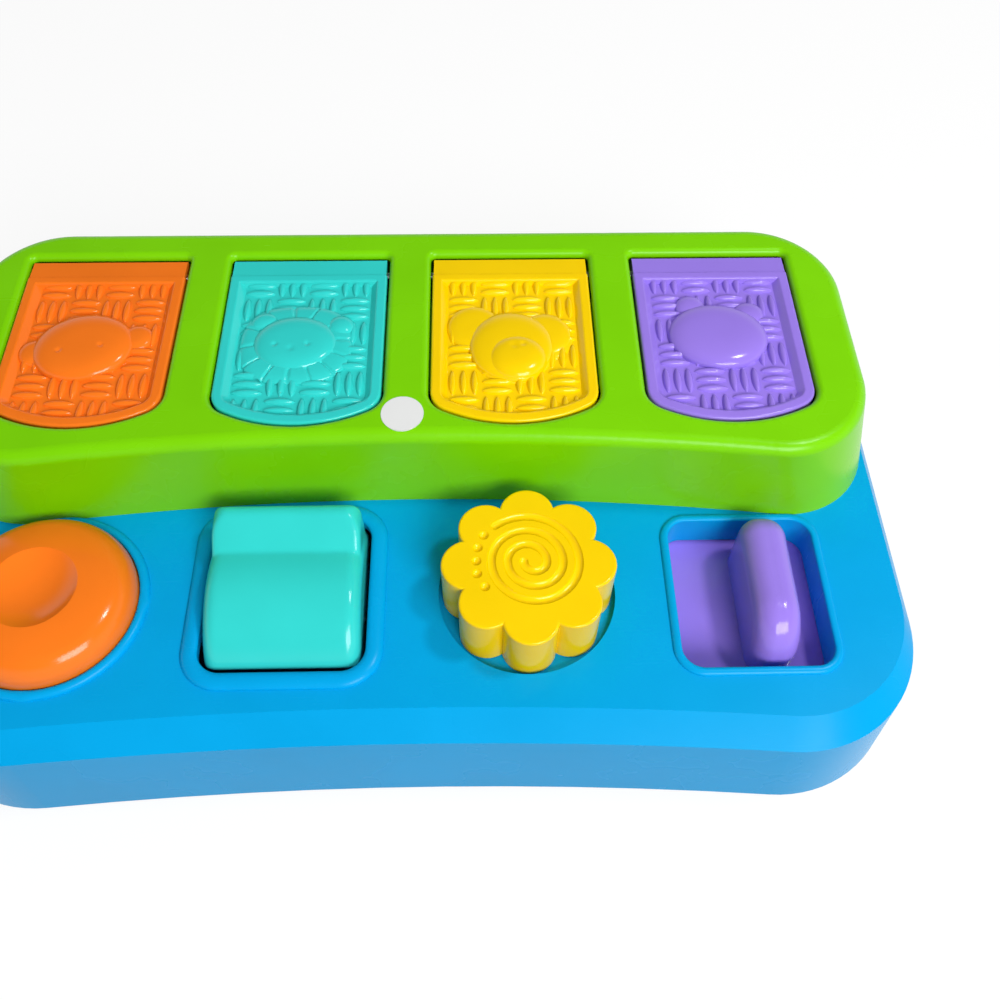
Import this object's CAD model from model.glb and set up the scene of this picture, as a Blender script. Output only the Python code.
import bmesh
import bpy
import math
import numpy as np
from mathutils import Matrix, Vector


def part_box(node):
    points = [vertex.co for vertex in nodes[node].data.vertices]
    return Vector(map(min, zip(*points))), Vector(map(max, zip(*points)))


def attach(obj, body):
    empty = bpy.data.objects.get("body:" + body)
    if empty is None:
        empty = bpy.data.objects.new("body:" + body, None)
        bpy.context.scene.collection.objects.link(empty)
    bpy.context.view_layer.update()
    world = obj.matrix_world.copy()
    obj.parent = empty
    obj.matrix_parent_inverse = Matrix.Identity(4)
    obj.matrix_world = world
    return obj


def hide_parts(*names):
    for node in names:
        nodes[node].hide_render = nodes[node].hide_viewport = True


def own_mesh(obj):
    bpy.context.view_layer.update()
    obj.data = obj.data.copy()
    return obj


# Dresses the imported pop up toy: plastic and steel looks, the woven panels and raised heads on the
# lids, beads round the controls, the softened rocker, coil springs, threaded screws, the animals
# with their faces, then camera, lights and floor.

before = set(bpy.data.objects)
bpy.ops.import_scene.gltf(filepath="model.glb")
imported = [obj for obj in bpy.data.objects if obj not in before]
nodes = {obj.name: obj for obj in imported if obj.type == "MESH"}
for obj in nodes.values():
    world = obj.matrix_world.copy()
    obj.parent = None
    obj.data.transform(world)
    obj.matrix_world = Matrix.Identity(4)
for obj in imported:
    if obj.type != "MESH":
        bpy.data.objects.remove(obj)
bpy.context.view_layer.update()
mm = 0.001

lidPitch = 70.5  # mm between the middles of two lids
lidColours = ("orange", "teal", "yellow", "purple")
lidMiddle = {colour: (place - (len(lidColours) - 1) / 2) * lidPitch
             for place, colour in enumerate(lidColours)}


# Shader helper: sockets that take part in plain arithmetic.

class Wire:
    def __init__(self, tree, socket=None):
        self.tree = tree
        self.socket = socket

    def node(self, kind, settings, inputs, output=0):
        made = self.tree.nodes.new("ShaderNode" + kind)
        for name, setting in settings.items():
            setattr(made, name, setting)
        for name, given in inputs.items():
            if isinstance(given, Wire):
                self.tree.links.new(given.socket, made.inputs[name])
            else:
                made.inputs[name].default_value = given
        return Wire(self.tree, made.outputs[output])

    def calc(self, operation, *values):
        return self.node("Math", {"operation": operation}, dict(enumerate(values)))

    def __add__(self, other):
        return self.calc("ADD", self, other)

    def __sub__(self, other):
        return self.calc("SUBTRACT", self, other)

    def __rsub__(self, other):
        return self.calc("SUBTRACT", other, self)

    def __mul__(self, other):
        return self.calc("MULTIPLY", self, other)

    __radd__ = __add__
    __rmul__ = __mul__

    def clamped(self, low, high):
        return self.node("MapRange", {}, {"Value": self, "From Min": low, "From Max": high})

    def blend(self, first, second):  # colours, by this value
        return self.node("Mix", {"data_type": "RGBA"}, {0: self, 6: first, 7: second}, 2)


def linear(red, green, blue):  # from screen levels of 0 to 255
    def channel(level):
        level /= 255
        return level / 12.92 if level < 0.04045 else ((level + 0.055) / 1.055) ** 2.4
    return (channel(red), channel(green), channel(blue), 1)


def shaded(colour, factor):
    return tuple(part * factor for part in colour[:3]) + (1,)


plastics = {
    "orange": {"colour": (246, 121, 28), "rough": 0.15},
    "teal": {"colour": (50, 206, 200), "rough": 0.16},
    "yellow": {"colour": (247, 206, 0), "rough": 0.17},
    "purple": {"colour": (150, 122, 224), "rough": 0.15},
    "green": {"colour": (122, 208, 0), "rough": 0.27, "specular": 0.2},
    "blue": {"colour": (0, 160, 222), "rough": 0.27, "specular": 0.11},
    "coverBlue": {"colour": (0, 120, 182), "rough": 0.45},
    "white": {"colour": (222, 222, 218), "rough": 0.4},
    "disc": {"colour": (228, 229, 228), "rough": 0.22},
    "cream": {"colour": (240, 222, 184), "rough": 0.34},
    "pink": {"colour": (236, 150, 160), "rough": 0.34},
    "black": {"colour": (24, 22, 22), "rough": 0.14},
}
moulding = {
    "cloud": {"Scale": 38, "Detail": 3}, "cloudRange": (0.3, 0.7),
    "mottle": 0.03, "roughSpread": 0.08, "index": 1.49,
    "peel": {"Scale": 1500, "Detail": 1}, "peelDepth": 0.000012,
    "grain": {"Scale": 5200, "Detail": 2}, "grainDepth": 0.000003,
    "stretch": {"Rotation": (0.4, 0.2, 0.7), "Scale": (60, 900, 60)},
    "scratch": {"Scale": 1.2, "Detail": 1}, "scratchRange": (0.6, 0.85),
    "wide": {"Scale": 22, "Detail": 2}, "wideRange": (0.45, 0.7), "scuffAmount": 0.025,
}


def plastic(name, colour, rough, specular=0.3):
    material = bpy.data.materials.new(name)
    material.use_nodes = True
    tree = material.node_tree
    shader = tree.nodes["Principled BSDF"]
    start = Wire(tree)
    place = start.node("TexCoord", {}, {}, "Object")
    cloud = start.node("TexNoise", {}, {"Vector": place, **moulding["cloud"]})
    peel = start.node("TexNoise", {}, {"Vector": place, **moulding["peel"]})
    grain = start.node("TexNoise", {}, {"Vector": place, **moulding["grain"]})
    stretched = start.node("Mapping", {}, {"Vector": place, **moulding["stretch"]})
    scratch = start.node("TexNoise", {}, {"Vector": stretched, **moulding["scratch"]})
    wide = start.node("TexNoise", {}, {"Vector": place, **moulding["wide"]})
    scuffs = scratch.clamped(*moulding["scratchRange"]) * wide.clamped(*moulding["wideRange"])
    base = linear(*colour)
    tone = cloud.clamped(*moulding["cloudRange"])
    mix = tone.blend(shaded(base, 1 - moulding["mottle"]), shaded(base, 1 + moulding["mottle"]))
    tree.links.new(mix.socket, shader.inputs["Base Color"])
    level = rough + (cloud - 0.5) * moulding["roughSpread"] + scuffs * moulding["scuffAmount"]
    tree.links.new(level.socket, shader.inputs["Roughness"])
    bump = start.node("Bump", {}, {"Strength": 1.0, "Distance": moulding["peelDepth"],
                                   "Height": peel})
    fine = start.node("Bump", {}, {"Strength": 1.0, "Distance": moulding["grainDepth"],
                                   "Height": grain, "Normal": bump})
    tree.links.new(fine.socket, shader.inputs["Normal"])
    shader.inputs["IOR"].default_value = moulding["index"]
    shader.inputs["Specular IOR Level"].default_value = specular
    return material


steels = {
    "wire": {"name": "springWire", "shade": 0.62, "rough": 0.3},
    "pin": {"name": "groundPin", "shade": 0.6, "rough": 0.26},
    "screw": {"name": "zincScrew", "shade": 0.58, "rough": 0.34},
}
metal = {"cloud": {"Scale": 260, "Detail": 4}, "cloudRange": (0.3, 0.7), "blueShare": 1.02,
         "dulled": 0.86, "roughSpread": 0.2}


def steel(name, shade, rough):
    material = bpy.data.materials.new(name)
    material.use_nodes = True
    tree = material.node_tree
    shader = tree.nodes["Principled BSDF"]
    start = Wire(tree)
    place = start.node("TexCoord", {}, {}, "Object")
    cloud = start.node("TexNoise", {}, {"Vector": place, **metal["cloud"]})
    bright = (shade, shade, shade * metal["blueShare"], 1)
    tone = cloud.clamped(*metal["cloudRange"])
    mix = tone.blend(shaded(bright, metal["dulled"]), bright)
    tree.links.new(mix.socket, shader.inputs["Base Color"])
    level = rough + (cloud - 0.5) * metal["roughSpread"]
    tree.links.new(level.socket, shader.inputs["Roughness"])
    shader.inputs["Metallic"].default_value = 1
    return material


materials = {name: plastic(name + "Plastic", **look) for name, look in plastics.items()}
materials.update({name: steel(**look) for name, look in steels.items()})

finishes = {
    "base_shell": "blue", "bottom_cover": "coverBlue", "upper_housing": "green",
    "push_button": "orange", "rocker": "teal", "flower_knob": "yellow", "knob_crank": "white",
    "slider_handle": "purple", "slider_retainer": "white", "button_spring": "wire",
    "rocker_axle": "pin", "white_disc": "disc", "cover_screws": "screw", "housing_screws": "screw",
    "retainer_screws": "screw", "knob_screw": "screw", "latch_keepers": "white",
    "keeper_screws": "screw",
}
for colour in lidColours:
    finishes.update({f"{colour}_lid": colour, f"{colour}_animal": colour,
                     f"{colour}_hinge_pin": "pin", f"{colour}_lid_spring": "wire",
                     f"{colour}_latch": "white", f"{colour}_latch_spring": "wire"})


def wear(piece, name):
    piece.data.materials.clear()
    piece.data.materials.append(materials[name])


for node, finish in finishes.items():
    wear(nodes[node], finish)
print("materials done")


# Meshes are worked out in millimetres and made in metres.

def meshPiece(name, points, faces, finish, body):
    mesh = bpy.data.meshes.new(name)
    mesh.from_pydata([tuple(point) for point in np.array(points) * mm], [], faces)
    mesh.polygons.foreach_set("use_smooth", [True] * len(mesh.polygons))
    mesh.update()
    piece = bpy.data.objects.new(name, mesh)
    bpy.context.scene.collection.objects.link(piece)
    wear(piece, finish)
    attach(piece, body)
    return piece


def gridFaces(rows, columns, first=0, closed=False):
    faces = []
    for row in range(rows - 1):
        for column in range(columns if closed else columns - 1):
            following = (column + 1) % columns
            corner = first + row * columns
            faces.append((corner + column, corner + following,
                          corner + columns + following, corner + columns + column))
    return faces


# Woven panel: cells of three raised bars that lie across and along in turn.

lidSizes = {"floor": 72.6, "halfWidth": 27.3, "front": 3.6, "hingeLine": 68.3, "bow": 50,
            "corner": 8, "rim": 3.2, "backRim": 2.6}
weave = {"cell": 11, "firstRow": 10.1, "rows": 6, "columns": 4, "bars": 3, "pitch": 3.65,
         "halfLength": 5.2, "halfWidth": 1.42, "height": 1.5, "sunk": 0.05, "along": 17,
         "across": 9, "planCurve": 0.62, "archCurve": 0.5, "crownCurve": 0.7}


def rimDistance(x, y):  # how far a point of the lid lies inside the lid's own outline
    sizes = lidSizes
    middle = sizes["front"] + sizes["bow"]
    cornerX = sizes["halfWidth"] - sizes["corner"]
    cornerY = middle - math.sqrt((sizes["bow"] - sizes["corner"]) ** 2 - cornerX ** 2)
    x = abs(x)
    if x > cornerX and y < cornerY:
        return sizes["corner"] - math.hypot(x - cornerX, y - cornerY)
    back = sizes["hingeLine"] - y + sizes["rim"] - sizes["backRim"]
    return min(sizes["halfWidth"] - x, back, sizes["bow"] - math.hypot(x, y - middle))


def weaveBar(x, y, lengthwise):
    along = np.linspace(-1, 1, weave["along"])[:, None]
    across = np.linspace(-1, 1, weave["across"])[None, :]
    taper = np.maximum(1 - along ** 2, 0)
    u = along * weave["halfLength"] + across * 0
    v = across * weave["halfWidth"] * taper ** weave["planCurve"]
    crown = np.maximum(1 - across ** 2, 0) ** weave["crownCurve"]
    rise = weave["height"] * taper ** weave["archCurve"] * crown
    z = lidSizes["floor"] - weave["sunk"] + rise
    plan = (v, -u) if lengthwise else (u, v)
    return np.stack([plan[0] + x, plan[1] + y, z], axis=-1).reshape(-1, 3)


def addWeave(colour, startsAcross):
    points, faces = [], []
    for row in range(weave["rows"]):
        for column in range(weave["columns"]):
            lengthwise = (row + column) % 2 == (0 if startsAcross else 1)
            middleX = (column - (weave["columns"] - 1) / 2) * weave["cell"]
            middleY = weave["firstRow"] + row * weave["cell"]
            for bar in range(weave["bars"]):
                shift = (bar - 1) * weave["pitch"]
                spot = (middleX + shift, middleY) if lengthwise else (middleX, middleY + shift)
                cloud = weaveBar(*spot, lengthwise)
                inside = [rimDistance(x, y) > lidSizes["rim"] for x, y, _ in cloud]
                grid = gridFaces(weave["along"], weave["across"])
                kept = [face for face in grid if all(inside[corner] for corner in face)]
                faces += [tuple(corner + len(points) for corner in face) for face in kept]
                points += [(px + lidMiddle[colour], py, pz) for px, py, pz in cloud]
    return meshPiece(f"{colour}_weave", points, faces, colour, f"{colour}_lid_body")


for colour in lidColours:
    addWeave(colour, colour in ("orange", "teal"))
print("woven panels done")


# Raised heads: each form is a low pillow with an oval outline, given by its middle, half sizes,
# height over the panel, turn, how square its outline is, and how flat and how steep it is. Dimples
# are x, y, radius and depth.

def form(x, y, halfWidth, halfLength, height, turn=0, square=2, flat=2.4, steep=2.1):
    return {"x": x, "y": y, "halfWidth": halfWidth, "halfLength": halfLength, "height": height,
            "turn": turn, "square": square, "flat": flat, "steep": steep}


heads = {
    "orange": {
        "forms": [form(-18.2, 35.2, 5.3, 5.5, 2.2, flat=3),
                  form(14.9, 41.4, 5.4, 5.5, 2.2, flat=3),
                  form(-2.1, 37.2, 16.7, 14.2, 4.35, 9, flat=3.2, steep=2.5)],
        "dimples": [(-8.5, 33.5, 0.75, 0.55), (4.7, 35.6, 0.75, 0.55)],
    },
    "teal": {
        "forms": [form(-2.2, 38, 19, 17.2, 2.3, square=2.6, flat=7, steep=2.2),
                  form(-13.4, 47.2, 5.2, 4.5, 3.0, 20), form(12.4, 45.4, 4.8, 4.9, 3.0),
                  form(-2.3, 37.5, 14.2, 11.8, 4.3, flat=3.6, steep=2.7)],
        "dimples": [(-8.5, 35.2, 0.8, 0.55), (2.3, 35.3, 0.8, 0.55), (-3.1, 33.3, 1.1, 0.32)],
        "tufts": {"form": 0, "depth": 0.75, "width": 0.36, "notch": 0.02, "spread": 4,
                  "angles": (96, 66, 30, 4, -20, -44, -69, -96, -122, -148, -174, 158, 128)},
    },
    "yellow": {
        "forms": [form(-12.8, 44.7, 9.3, 9.9, 2.05, 12, flat=4),
                  form(11, 41.2, 9.2, 9.7, 2.05, -8, flat=4),
                  form(-0.5, 36.2, 14.3, 14.9, 3.75, flat=3.2, steep=2.5),
                  form(1.2, 30.6, 10.4, 9.5, 4.7, flat=3, steep=2.4)],
        "dimples": [(-8.6, 38.3, 0.8, 0.4), (0.4, 33.6, 1.5, 0.3), (3.4, 34.2, 1.0, 0.3)],
    },
    "purple": {
        "forms": [form(-8.6, 53.2, 5.3, 5.2, 2.4), form(11.2, 50, 5.4, 5.2, 2.4, flat=2.2),
                  form(-0.8, 39.6, 16.9, 14, 4.35, -5, flat=3, steep=2.5)],
        "dimples": [],
    },
}
headMesh = {"rings": 46, "spokes": 300, "sunk": 0.1}


def headForm(name, colour, spec, dimples, tufts=None):
    reach = np.sin(np.linspace(0, math.pi / 2, headMesh["rings"]))[1:, None]
    angle = np.linspace(0, 2 * math.pi, headMesh["spokes"], endpoint=False)[None, :]
    power = 2 / spec["square"]
    if tufts:  # the rim of a mane draws in a little at each groove
        for degrees in tufts["angles"]:
            apart = np.abs((np.degrees(angle) - degrees + 180) % 360 - 180)
            reach = reach * (1 - tufts["notch"] * np.exp(-(apart / tufts["spread"]) ** 2) * reach)
    across = np.sign(np.cos(angle)) * np.abs(np.cos(angle)) ** power * spec["halfWidth"] * reach
    along = np.sign(np.sin(angle)) * np.abs(np.sin(angle)) ** power * spec["halfLength"] * reach
    turn = math.radians(spec["turn"])
    x = spec["x"] + across * math.cos(turn) - along * math.sin(turn)
    y = spec["y"] + across * math.sin(turn) + along * math.cos(turn)
    rise = spec["height"] * np.maximum(1 - reach ** spec["flat"], 0) ** (1 / spec["steep"]) + 0 * x
    for spotX, spotY, radius, depth in dimples:
        rise = rise - depth * np.exp(-((x - spotX) ** 2 + (y - spotY) ** 2) / radius ** 2)
    if tufts:
        for degrees in tufts["angles"]:
            aimX, aimY = math.cos(math.radians(degrees)), math.sin(math.radians(degrees))
            side = np.abs((x - spec["x"]) * aimY - (y - spec["y"]) * aimX)
            ahead = (x - spec["x"]) * aimX + (y - spec["y"]) * aimY > 0
            rise = rise - ahead * tufts["depth"] * np.exp(-(side / tufts["width"]) ** 2)
    z = lidSizes["floor"] - headMesh["sunk"] + np.maximum(rise, 0)
    ring = np.stack([x + lidMiddle[colour], y, z], axis=-1).reshape(-1, 3)
    crown = [(spec["x"] + lidMiddle[colour], spec["y"],
              lidSizes["floor"] - headMesh["sunk"] + spec["height"])]
    spokes = headMesh["spokes"]
    faces = gridFaces(headMesh["rings"] - 1, spokes, 1, closed=True)
    faces = [face[::-1] for face in faces]
    faces += [(0, 1 + spoke, 1 + (spoke + 1) % spokes) for spoke in range(spokes)]
    return meshPiece(name, np.vstack([crown, ring]), faces, colour, f"{colour}_lid_body")


for colour, head in heads.items():
    tufts = head.get("tufts")
    for number, spec in enumerate(head["forms"]):
        last = number == len(head["forms"]) - 1
        headForm(f"{colour}_head_{number}", colour, spec, head["dimples"] if last else [],
                 tufts if tufts and tufts["form"] == number else None)
print("raised heads done")


# Skins made of rings: a tube along a path, and rings with a point at each end.

def ringFaces(rows, columns, first, start, end):
    faces = gridFaces(rows, columns, first, closed=True)
    last = first + (rows - 1) * columns
    for column in range(columns):
        following = (column + 1) % columns
        faces.append((start, first + following, first + column))
        faces.append((end, last + column, last + following))
    return faces


def tube(path, side, radius, sides):
    ahead = np.gradient(path, axis=0)
    ahead /= np.linalg.norm(ahead, axis=1)[:, None]
    side = side - (side * ahead).sum(axis=1)[:, None] * ahead
    side /= np.linalg.norm(side, axis=1)[:, None]
    other = np.cross(ahead, side)
    turn = np.linspace(0, 2 * math.pi, sides, endpoint=False)[None, :, None]
    rings = path[:, None] + radius * (np.cos(turn) * side[:, None] + np.sin(turn) * other[:, None])
    points = rings.reshape(-1, 3)
    faces = gridFaces(len(path), sides, closed=True)
    faces.append(tuple(range(sides))[::-1])
    faces.append(tuple(range(len(points) - sides, len(points))))
    return points, faces


# Rounded beads round the button, the rocker and the slider. Each lies over the plain collar of the
# base and laps a little over the edge of its opening.

beads = {
    "steps": 16, "under": 39.95,
    "button": {"middle": (-115, -41.3), "half": (29.7, 29.7), "corner": 29.7,
               "lap": 0.2, "peak": 0.9, "width": 2.9, "lip": 41.0, "top": 41.8},
    "rocker": {"middle": (-38.55, -38.65), "half": (26.35, 27.65), "corner": 8,
               "lap": 0.3, "peak": 1.6, "width": 5.2, "lip": 40.9, "top": 42.05},
    "slider": {"middle": (110.2, -40.1), "half": (24.25, 26.6), "corner": 7,
               "lap": 0.2, "peak": 0.8, "width": 2.6, "lip": 40.5, "top": 41.25},
}


def addBead(name):
    bead = beads[name]
    quarter = np.linspace(0, math.pi / 2, beads["steps"])
    inner = [(bead["peak"] - (bead["peak"] + bead["lap"]) * math.cos(turn),
              bead["lip"] + (bead["top"] - bead["lip"]) * math.sin(turn)) for turn in quarter]
    outer = [(bead["peak"] + (bead["width"] - bead["peak"]) * math.sin(turn),
              beads["under"] + (bead["top"] - beads["under"]) * math.cos(turn))
             for turn in quarter[1:]]
    points = []
    for out, height in inner + outer:
        for corner, (signX, signY) in enumerate(((1, 1), (-1, 1), (-1, -1), (1, -1))):
            x = bead["middle"][0] + signX * (bead["half"][0] - bead["corner"])
            y = bead["middle"][1] + signY * (bead["half"][1] - bead["corner"])
            for turn in quarter + corner * math.pi / 2:
                reach = bead["corner"] + out
                points.append((x + reach * math.cos(turn), y + reach * math.sin(turn), height))
    rows = len(inner) + len(outer)
    faces = [face[::-1] for face in gridFaces(rows, len(points) // rows, closed=True)]
    return meshPiece(f"{name}_bead", points, faces, "blue", "base")


for name in ("button", "rocker", "slider"):
    addBead(name)
print("beads done")


# The rocker with fully rounded edges: its solid's own skin, remade even and then relaxed.

rockerSkin = {"voxel": 0.0005, "soften": 26}


def softened(draft, voxel, iterations):
    bpy.context.scene.collection.objects.link(draft)
    remesh = draft.modifiers.new("skin", "REMESH")
    remesh.mode = "VOXEL"
    remesh.voxel_size = voxel
    soften = draft.modifiers.new("soften", "SMOOTH")
    soften.iterations = iterations
    evaluated = draft.evaluated_get(bpy.context.evaluated_depsgraph_get())
    mesh = bpy.data.meshes.new_from_object(evaluated)
    bpy.data.objects.remove(draft)
    mesh.polygons.foreach_set("use_smooth", [True] * len(mesh.polygons))
    return mesh


def addRocker():
    draft = bpy.data.objects.new("rockerDraft", nodes["rocker"].data.copy())
    piece = bpy.data.objects.new("rocker_softened",
                                 softened(draft, rockerSkin["voxel"], rockerSkin["soften"]))
    bpy.context.scene.collection.objects.link(piece)
    wear(piece, "teal")
    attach(piece, "rocker_body")
    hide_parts("rocker")


addRocker()
print("rocker done")


# Coil springs of round wire, in the room that the plain spring solids hold.

coils = {"stepsPerTurn": 30, "sides": 10, "endRise": 3,  # rise of the closed end turns, in wires
         "lid": {"wire": 0.36, "turns": 16, "axis": 0},
         "latch": {"wire": 0.48, "turns": 7, "axis": 1},
         "button": {"wire": 0.6, "turns": 8, "axis": 2}}


def addCoil(name, node, kind):
    low, high = (np.array(corner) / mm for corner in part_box(node))
    spring = coils[kind]
    axis, wire, turns = spring["axis"], spring["wire"], spring["turns"]
    length = high[axis] - low[axis]
    first, second = [place for place in range(3) if place != axis]
    radius = min(high[first] - low[first], high[second] - low[second]) / 2 - wire
    turn = np.linspace(0, turns, turns * coils["stepsPerTurn"] + 1)
    closed = coils["endRise"] * wire
    travel = np.interp(turn, [0, 1, turns - 1, turns],
                       [wire, closed, length - closed, length - wire])
    out = np.zeros((len(turn), 3))
    out[:, first] = np.cos(turn * 2 * math.pi)
    out[:, second] = np.sin(turn * 2 * math.pi)
    path = (low + high) / 2 + out * radius
    path[:, axis] = low[axis] + travel
    points, faces = tube(path, out, wire, coils["sides"])
    coil = meshPiece(name, points, faces, "wire", "base")
    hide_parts(node)
    return coil


for colour in lidColours:
    addCoil(f"{colour}_lid_coil", f"{colour}_lid_spring", "lid")
    latchCoil = addCoil(f"{colour}_latch_coil", f"{colour}_latch_spring", "latch")
    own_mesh(latchCoil)
buttonCoil = addCoil("button_coil", "button_spring", "button")
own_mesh(buttonCoil)
print("springs done")


# Screws: a domed head with a cross recess, a threaded shank and a blunt tip.

screws = {"columns": 40, "headRows": 16, "dome": 0.22, "recess": 0.6, "armWidth": 0.17,
          "armReach": 0.6, "edge": 0.07, "rim": ((0.3, 1), (0.9, 1), (1, 0.97)), "neck": 0.1,
          "pitch": 0.95, "threadDepth": 0.24, "threadCurve": 0.7, "threadRows": 60, "tip": 1.6,
          "tipRound": 0.15, "tipWidth": 0.45}
# How the vertices of the plain solids are told apart, in mm; headBand is a share of the radius.
screwSort = {"apart": 7, "headBand": 0.8, "headLevel": 0.5, "shankEnd": 0.3}


def screwSkin(centre, low, high, headDown, headRadius, headHeight, shankRadius):
    angle = np.linspace(0, 2 * math.pi, screws["columns"], endpoint=False)[None, :]
    length = high - low
    reach = np.linspace(0, 1, screws["headRows"])[1:, None]
    face = reach * np.cos(angle), reach * np.sin(angle)
    arms = [np.clip((limit - abs(place)) / screws["edge"] + 0.5, 0, 1)
            for place, limit in ((face[0], screws["armReach"]), (face[1], screws["armWidth"]),
                                 (face[1], screws["armReach"]), (face[0], screws["armWidth"]))]
    cross = np.maximum(arms[0] * arms[1], arms[2] * arms[3])
    depths = [headHeight * (screws["dome"] * reach ** 2 + screws["recess"] * cross)]
    radii = [headRadius * reach + 0 * angle]
    rim = [(share, headRadius * width) for share, width in screws["rim"]]
    for share, radius in rim + [(1, shankRadius)]:
        depths.append(headHeight * share + 0 * angle)
        radii.append(radius + 0 * angle)
    threadStart, threadEnd = headHeight + screws["neck"], length - screws["tip"]
    along = np.linspace(threadStart, threadEnd, screws["threadRows"])[:, None]
    wave = (along / screws["pitch"] + angle / (2 * math.pi)) % 1
    depths.append(along + 0 * angle)
    groove = abs(2 * wave - 1) ** screws["threadCurve"]
    radii.append(shankRadius - screws["threadDepth"] * groove)
    depths.append(length - screws["tipRound"] + 0 * angle)
    radii.append(shankRadius * screws["tipWidth"] + 0 * angle)
    depth, radius = np.vstack(depths), np.vstack(radii)
    rows = len(depth)
    height = (low + depth) if headDown else (high - depth)
    ends = [headHeight * screws["recess"], length]
    rings = np.stack([centre[0] + radius * np.cos(angle), centre[1] + radius * np.sin(angle),
                      height], axis=-1).reshape(-1, 3)
    poles = [(centre[0], centre[1], low + end if headDown else high - end) for end in ends]
    faces = ringFaces(rows, screws["columns"], 2, 0, 1)
    if not headDown:
        faces = [face[::-1] for face in faces]
    return np.vstack([poles, rings]), faces


def addScrews(node, body):
    cloud = np.array([point.co for point in nodes[node].data.vertices]) / mm
    points, faces = np.zeros((0, 3)), []
    while len(cloud):
        near = np.hypot(*(cloud[:, :2] - cloud[0, :2]).T) < screwSort["apart"]
        one, cloud = cloud[near], cloud[~near]
        low, high = one.min(axis=0), one.max(axis=0)
        centre = (low + high)[:2] / 2
        away = np.hypot(*(one[:, :2] - centre).T)
        headRadius = away.max()
        head = one[away > headRadius * screwSort["headBand"], 2]
        headDown = abs(head.min() - low[2]) < screwSort["headLevel"]
        headHeight = head.max() - low[2] if headDown else high[2] - head.min()
        fromEnd = abs(one[:, 2] - (high if headDown else low)[2])
        shankRadius = away[fromEnd < screwSort["shankEnd"]].max()
        skin, skinFaces = screwSkin(centre, low[2], high[2], headDown, headRadius, headHeight,
                                    shankRadius)
        faces += [tuple(corner + len(points) for corner in face) for face in skinFaces]
        points = np.vstack([points, skin])
    piece = meshPiece(f"{node}_threaded", points, faces, "screw", body)
    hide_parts(node)


for node in ("cover_screws", "housing_screws", "retainer_screws", "keeper_screws"):
    addScrews(node, "base")
addScrews("knob_screw", "knob_body")
print("screws done")


# The animals under the lids: one soft skin over a body, head, arms, ears and muzzle. Every form is
# x, y, height, half width, half length and half depth; one off the middle has a twin.

figureForms = {
    "all": [(0, 55, 70.4, 17, 13, 20), (0, 33, 60, 15, 12.5, 11), (14, 49, 59.4, 5, 7.5, 5)],
    "orange": [(12, 25.5, 61.9, 5, 4.8, 3.4), (0, 30, 50.8, 5.6, 4.6, 4)],
    "teal": [(12.5, 24, 64, 4.2, 4, 3.4), (0, 30.5, 51, 6, 4.4, 4.2)],
    "yellow": [(16, 34, 63.4, 7.4, 9.2, 3), (0, 33, 50.4, 3.6, 4, 5.4),
               (0, 40, 49.4, 3.2, 7.5, 3.4)],
    "purple": [(9, 22.8, 63.4, 3.8, 3.6, 3.2), (0, 36, 52.4, 10.4, 7, 7)],
}
mane = {"tufts": 14, "middle": (0, 33.5, 62.6), "out": (14.4, 11.2), "size": (4.3, 4.1, 4.6)}
figureSkin = {"voxel": 0.00065, "soften": 9, "lidBottom": 70.36, "subdivisions": 5}
figures = {}


def addFigure(colour):
    solids = [(x * side, *rest) for x, *rest in figureForms["all"] + figureForms[colour]
              for side in ((1, -1) if x else (1,))]
    if colour == "teal":
        for tuft in range(mane["tufts"]):
            angle = 2 * math.pi * tuft / mane["tufts"]
            solids.append((mane["middle"][0] + mane["out"][0] * math.cos(angle),
                           mane["middle"][1] + mane["out"][1] * math.sin(angle),
                           mane["middle"][2], *mane["size"]))
    forms = bmesh.new()
    for x, y, z, halfWidth, halfLength, halfDepth in solids:
        place = Matrix.Translation((x + lidMiddle[colour], y, z))
        scale = Matrix.Diagonal((halfWidth, halfLength, halfDepth, 1))
        bmesh.ops.create_icosphere(forms, subdivisions=figureSkin["subdivisions"], radius=1,
                                   matrix=place @ scale)
    bmesh.ops.scale(forms, vec=(mm, mm, mm), verts=forms.verts)
    joined = bpy.data.meshes.new("figureForms")
    forms.to_mesh(joined)
    forms.free()
    draft = bpy.data.objects.new("figureDraft", joined)
    mesh = softened(draft, figureSkin["voxel"], figureSkin["soften"])
    for point in mesh.vertices:
        point.co.z = min(point.co.z, figureSkin["lidBottom"] * mm)
    figure = bpy.data.objects.new(f"{colour}_figure", mesh)
    bpy.context.scene.collection.objects.link(figure)
    wear(figure, colour)
    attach(figure, f"{colour}_lid_body")
    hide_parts(f"{colour}_animal")
    figures[colour] = figure


for colour in lidColours:
    addFigure(colour)
bpy.context.view_layer.update()
print("animals done")


# Their faces. They look down while a lid is shut, so each patch is laid on the skin from below.
# Spots are x, y, half width, half length, height and finish.

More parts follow.
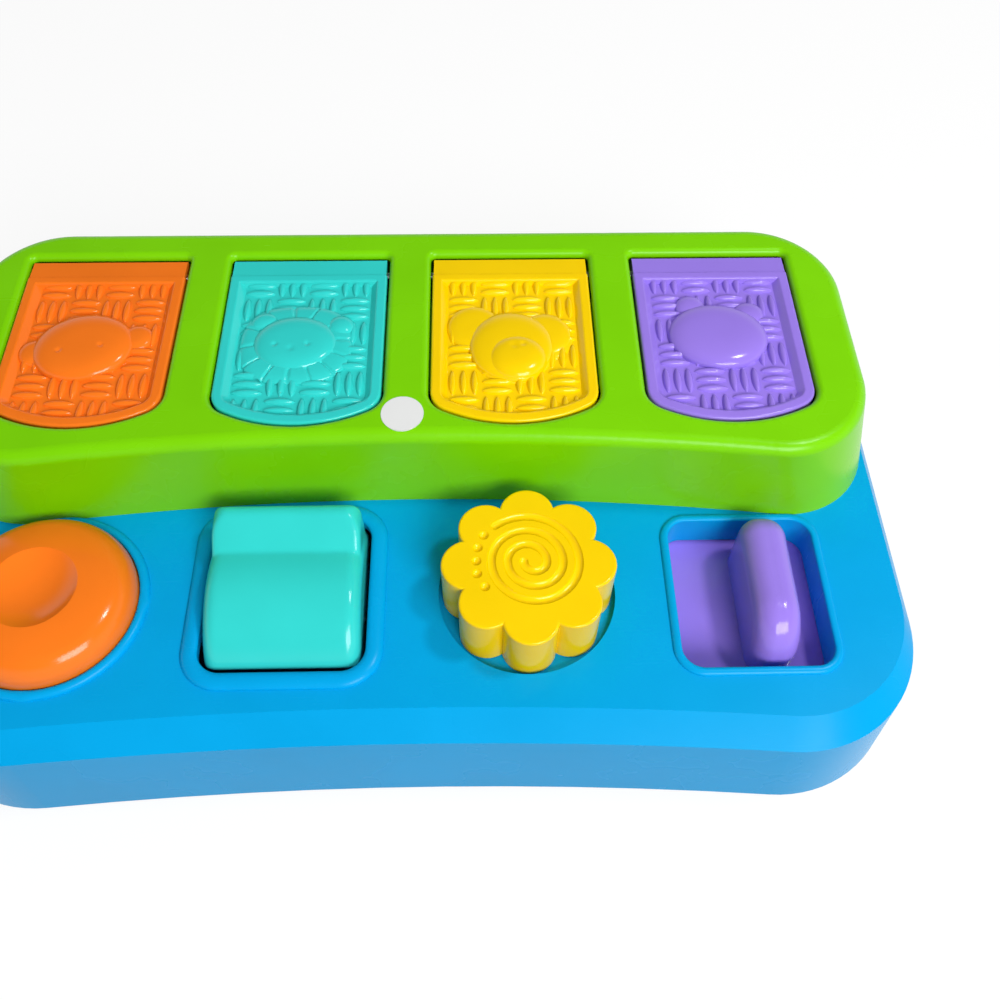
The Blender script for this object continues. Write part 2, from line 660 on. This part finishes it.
faceSpots = {
    "orange": [(-5.2, 26.6, 1.5, 1.7, 0.7, "black"), (5.2, 26.6, 1.5, 1.7, 0.7, "black"),
               (0, 30.4, 5, 4.1, 0.3, "cream"), (0, 27.8, 1.9, 1.3, 0.9, "black"),
               (-12.2, 24.8, 2.9, 2.6, 0.3, "cream"), (12.2, 24.8, 2.9, 2.6, 0.3, "cream"),
               (0, 57.5, 9, 7, 0.3, "cream")],
    "teal": [(-5, 27, 1.5, 1.7, 0.7, "black"), (5, 27, 1.5, 1.7, 0.7, "black"),
             (0, 31, 5.3, 3.9, 0.3, "cream"), (0, 28.6, 2.1, 1.3, 0.9, "pink"),
             (-12.6, 23.4, 2.3, 2.1, 0.3, "cream"), (12.6, 23.4, 2.3, 2.1, 0.3, "cream"),
             (0, 57.5, 9, 7, 0.3, "cream")],
    "yellow": [(-6, 27.4, 1.5, 1.7, 0.7, "black"), (6, 27.4, 1.5, 1.7, 0.7, "black"),
               (-18, 34.4, 4.3, 5.8, 0.3, "pink"), (18, 34.4, 4.3, 5.8, 0.3, "pink"),
               (-8.6, 35, 1.9, 1.6, 0.25, "pink"), (8.6, 35, 1.9, 1.6, 0.25, "pink"),
               (0, 58, 9, 6.6, 0.3, "cream")],
    "purple": [(-5.4, 26, 1.5, 1.7, 0.7, "black"), (5.4, 26, 1.5, 1.7, 0.7, "black"),
               (-3.7, 32.6, 1.1, 0.9, 0.45, "black"), (3.7, 32.6, 1.1, 0.9, 0.45, "black"),
               (-9.2, 21.8, 1.9, 1.7, 0.3, "pink"), (9.2, 21.8, 1.9, 1.7, 0.3, "pink"),
               (0, 58, 9, 6.6, 0.3, "cream")],
}
faceMesh = {"rings": 12, "spokes": 36, "sunk": 0.12, "from": 0.02, "roundness": 2.4}
glint = {"aside": 0.5, "ahead": 0.6, "half": 0.42, "height": 0.16, "lift": 0.8}
# Smiles are y at the middle, half width and how fast the ends rise.
smiles = {"orange": (31.2, 2.6, 0.12), "teal": (31.6, 2.8, 0.12), "purple": (37.6, 6, 0.035)}
mouth = {"steps": 25, "below": 0.32, "radius": 0.3, "sides": 8}


def skinHeight(colour, x, y):  # mm, the animal's lowest point over this spot
    start = Vector(((x + lidMiddle[colour]) * mm, y * mm, faceMesh["from"]))
    hit, spot, _, _ = figures[colour].ray_cast(start, Vector((0, 0, 1)))
    return spot.z / mm if hit else None


def facePatch(name, colour, x, y, halfWidth, halfLength, height, finish, lift=0):
    points = [(x, y, skinHeight(colour, x, y) - height - lift)]
    for reach in np.linspace(0, 1, faceMesh["rings"] + 1)[1:]:
        for spoke in range(faceMesh["spokes"]):
            angle = 2 * math.pi * spoke / faceMesh["spokes"]
            px = x + halfWidth * reach * math.cos(angle)
            py = y + halfLength * reach * math.sin(angle)
            rise = height * math.sqrt(max(1 - reach ** faceMesh["roundness"], 0)) + lift
            base = skinHeight(colour, px, py)
            points.append((px, py, (base if base is not None else points[-1][2]) - rise
                           + faceMesh["sunk"] * (reach == 1)))
    spokes = faceMesh["spokes"]
    faces = gridFaces(faceMesh["rings"], spokes, 1, closed=True)
    faces += [(0, 1 + (spoke + 1) % spokes, 1 + spoke) for spoke in range(spokes)]
    shifted = np.array(points) + (lidMiddle[colour], 0, 0)
    return meshPiece(name, shifted, faces, finish, f"{colour}_lid_body")


def addMouth(colour, middle, half, rise):
    path = []
    for x in np.linspace(-half, half, mouth["steps"]):
        y = middle - rise * x * x
        path.append((x, y, skinHeight(colour, x, y) - mouth["below"]))
    side = np.tile((0.0, 0.0, 1.0), (len(path), 1))
    line, faces = tube(np.array(path), side, mouth["radius"], mouth["sides"])
    meshPiece(f"{colour}_mouth", line + (lidMiddle[colour], 0, 0), faces, "black",
              f"{colour}_lid_body")


for colour, spots in faceSpots.items():
    for number, spot in enumerate(spots):
        facePatch(f"{colour}_face_{number}", colour, *spot)
    for side, eye in (("left", spots[0]), ("right", spots[1])):  # the first two spots are eyes
        x, y, height = eye[0], eye[1], eye[4]
        facePatch(f"{colour}_glint_{side}", colour, x - glint["aside"], y - glint["ahead"],
                  glint["half"], glint["half"], glint["height"], "white",
                  lift=height * glint["lift"])
    if colour in smiles:
        addMouth(colour, *smiles[colour])
print("faces done")


# Camera, lights and floor.

view = {"place": (0.02351, -0.18793, 0.32689), "pitch": 57.284, "turn": -2.16, "roll": 1.104,
        "lens": 35.89, "sensor": 36, "near": 0.01}


def addCamera():
    data = bpy.data.cameras.new("camera")
    data.sensor_width = view["sensor"]
    data.sensor_fit = "HORIZONTAL"
    data.lens = view["lens"]
    data.clip_start = view["near"]
    camera = bpy.data.objects.new("camera", data)
    tilt = Matrix.Rotation(math.radians(90 - view["pitch"]), 4, "X")
    turn = Matrix.Rotation(math.radians(view["turn"]), 4, "Z")
    roll = Matrix.Rotation(math.radians(view["roll"]), 4, "Z")
    camera.matrix_world = Matrix.Translation(Vector(view["place"])) @ turn @ tilt @ roll
    bpy.context.scene.collection.objects.link(camera)
    bpy.context.scene.camera = camera


lamps = {
    "window": {"at": (0.48, 0.03, 0.84), "size": (0.115, 0.115), "watts": 2.4},
    "main": {"at": (0.42, -0.85, 0.75), "size": (0.6, 0.45), "watts": 11.4},
}
lampAim = (0, 0, 0.03)
# The room gives the toy an even fill; the camera and gloss see it white low down, dim overhead.
room = {"fill": 0.33, "white": 1.0, "overhead": 0.08, "low": 0.3, "high": 0.55}
floorLook = {"half": 6.0, "under": 0.0003, "albedo": 0.16, "glow": 0.85, "rough": 0.9}


def addLamps():
    for name, lamp in lamps.items():
        data = bpy.data.lights.new(name, "AREA")
        data.shape = "RECTANGLE"
        data.size, data.size_y = lamp["size"]
        data.energy = lamp["watts"]
        light = bpy.data.objects.new(name, data)
        aim = Vector(lampAim) - Vector(lamp["at"])
        light.rotation_euler = aim.to_track_quat("-Z", "Y").to_euler()
        light.location = lamp["at"]
        bpy.context.scene.collection.objects.link(light)


def seenRay(start):  # 1 for what the camera sees, directly or in gloss or glass
    rays = [start.node("LightPath", {}, {}, name)
            for name in ("Is Camera Ray", "Is Glossy Ray", "Is Transmission Ray")]
    return (rays[0] + rays[1] + rays[2]).clamped(0, 1)


def addRoom():
    world = bpy.data.worlds.new("world")
    world.use_nodes = True
    bpy.context.scene.world = world
    tree = world.node_tree
    back = tree.nodes["Background"]
    start = Wire(tree)
    direction = start.node("TexCoord", {}, {}, "Generated")
    height = start.node("SeparateXYZ", {}, {"Vector": direction}, "Z")
    upward = height.clamped(room["low"], room["high"])
    shown = room["white"] + upward * (room["overhead"] - room["white"])
    level = room["fill"] + seenRay(start) * (shown - room["fill"])
    tree.links.new(level.socket, back.inputs["Strength"])
    back.inputs["Color"].default_value = (1, 1, 1, 1)


def addFloor():
    side, under = floorLook["half"], -floorLook["under"]
    corners = [(-side, -side, under), (side, -side, under), (side, side, under),
               (-side, side, under)]
    mesh = bpy.data.meshes.new("floor")
    mesh.from_pydata(corners, [], [(0, 1, 2, 3)])
    floor = bpy.data.objects.new("floor", mesh)
    bpy.context.scene.collection.objects.link(floor)
    material = bpy.data.materials.new("paleFloor")
    material.use_nodes = True
    tree = material.node_tree
    shader = tree.nodes["Principled BSDF"]
    shader.inputs["Base Color"].default_value = (floorLook["albedo"],) * 3 + (1,)
    shader.inputs["Roughness"].default_value = floorLook["rough"]
    shader.inputs["Specular IOR Level"].default_value = 0
    shader.inputs["Emission Strength"].default_value = 1
    glow = seenRay(Wire(tree)).blend((0, 0, 0, 1), (floorLook["glow"],) * 3 + (1,))
    tree.links.new(glow.socket, shader.inputs["Emission Color"])
    mesh.materials.append(material)


addCamera()
addLamps()
addRoom()
addFloor()
bpy.context.scene.view_settings.view_transform = "Standard"
print("camera, lights and floor done")
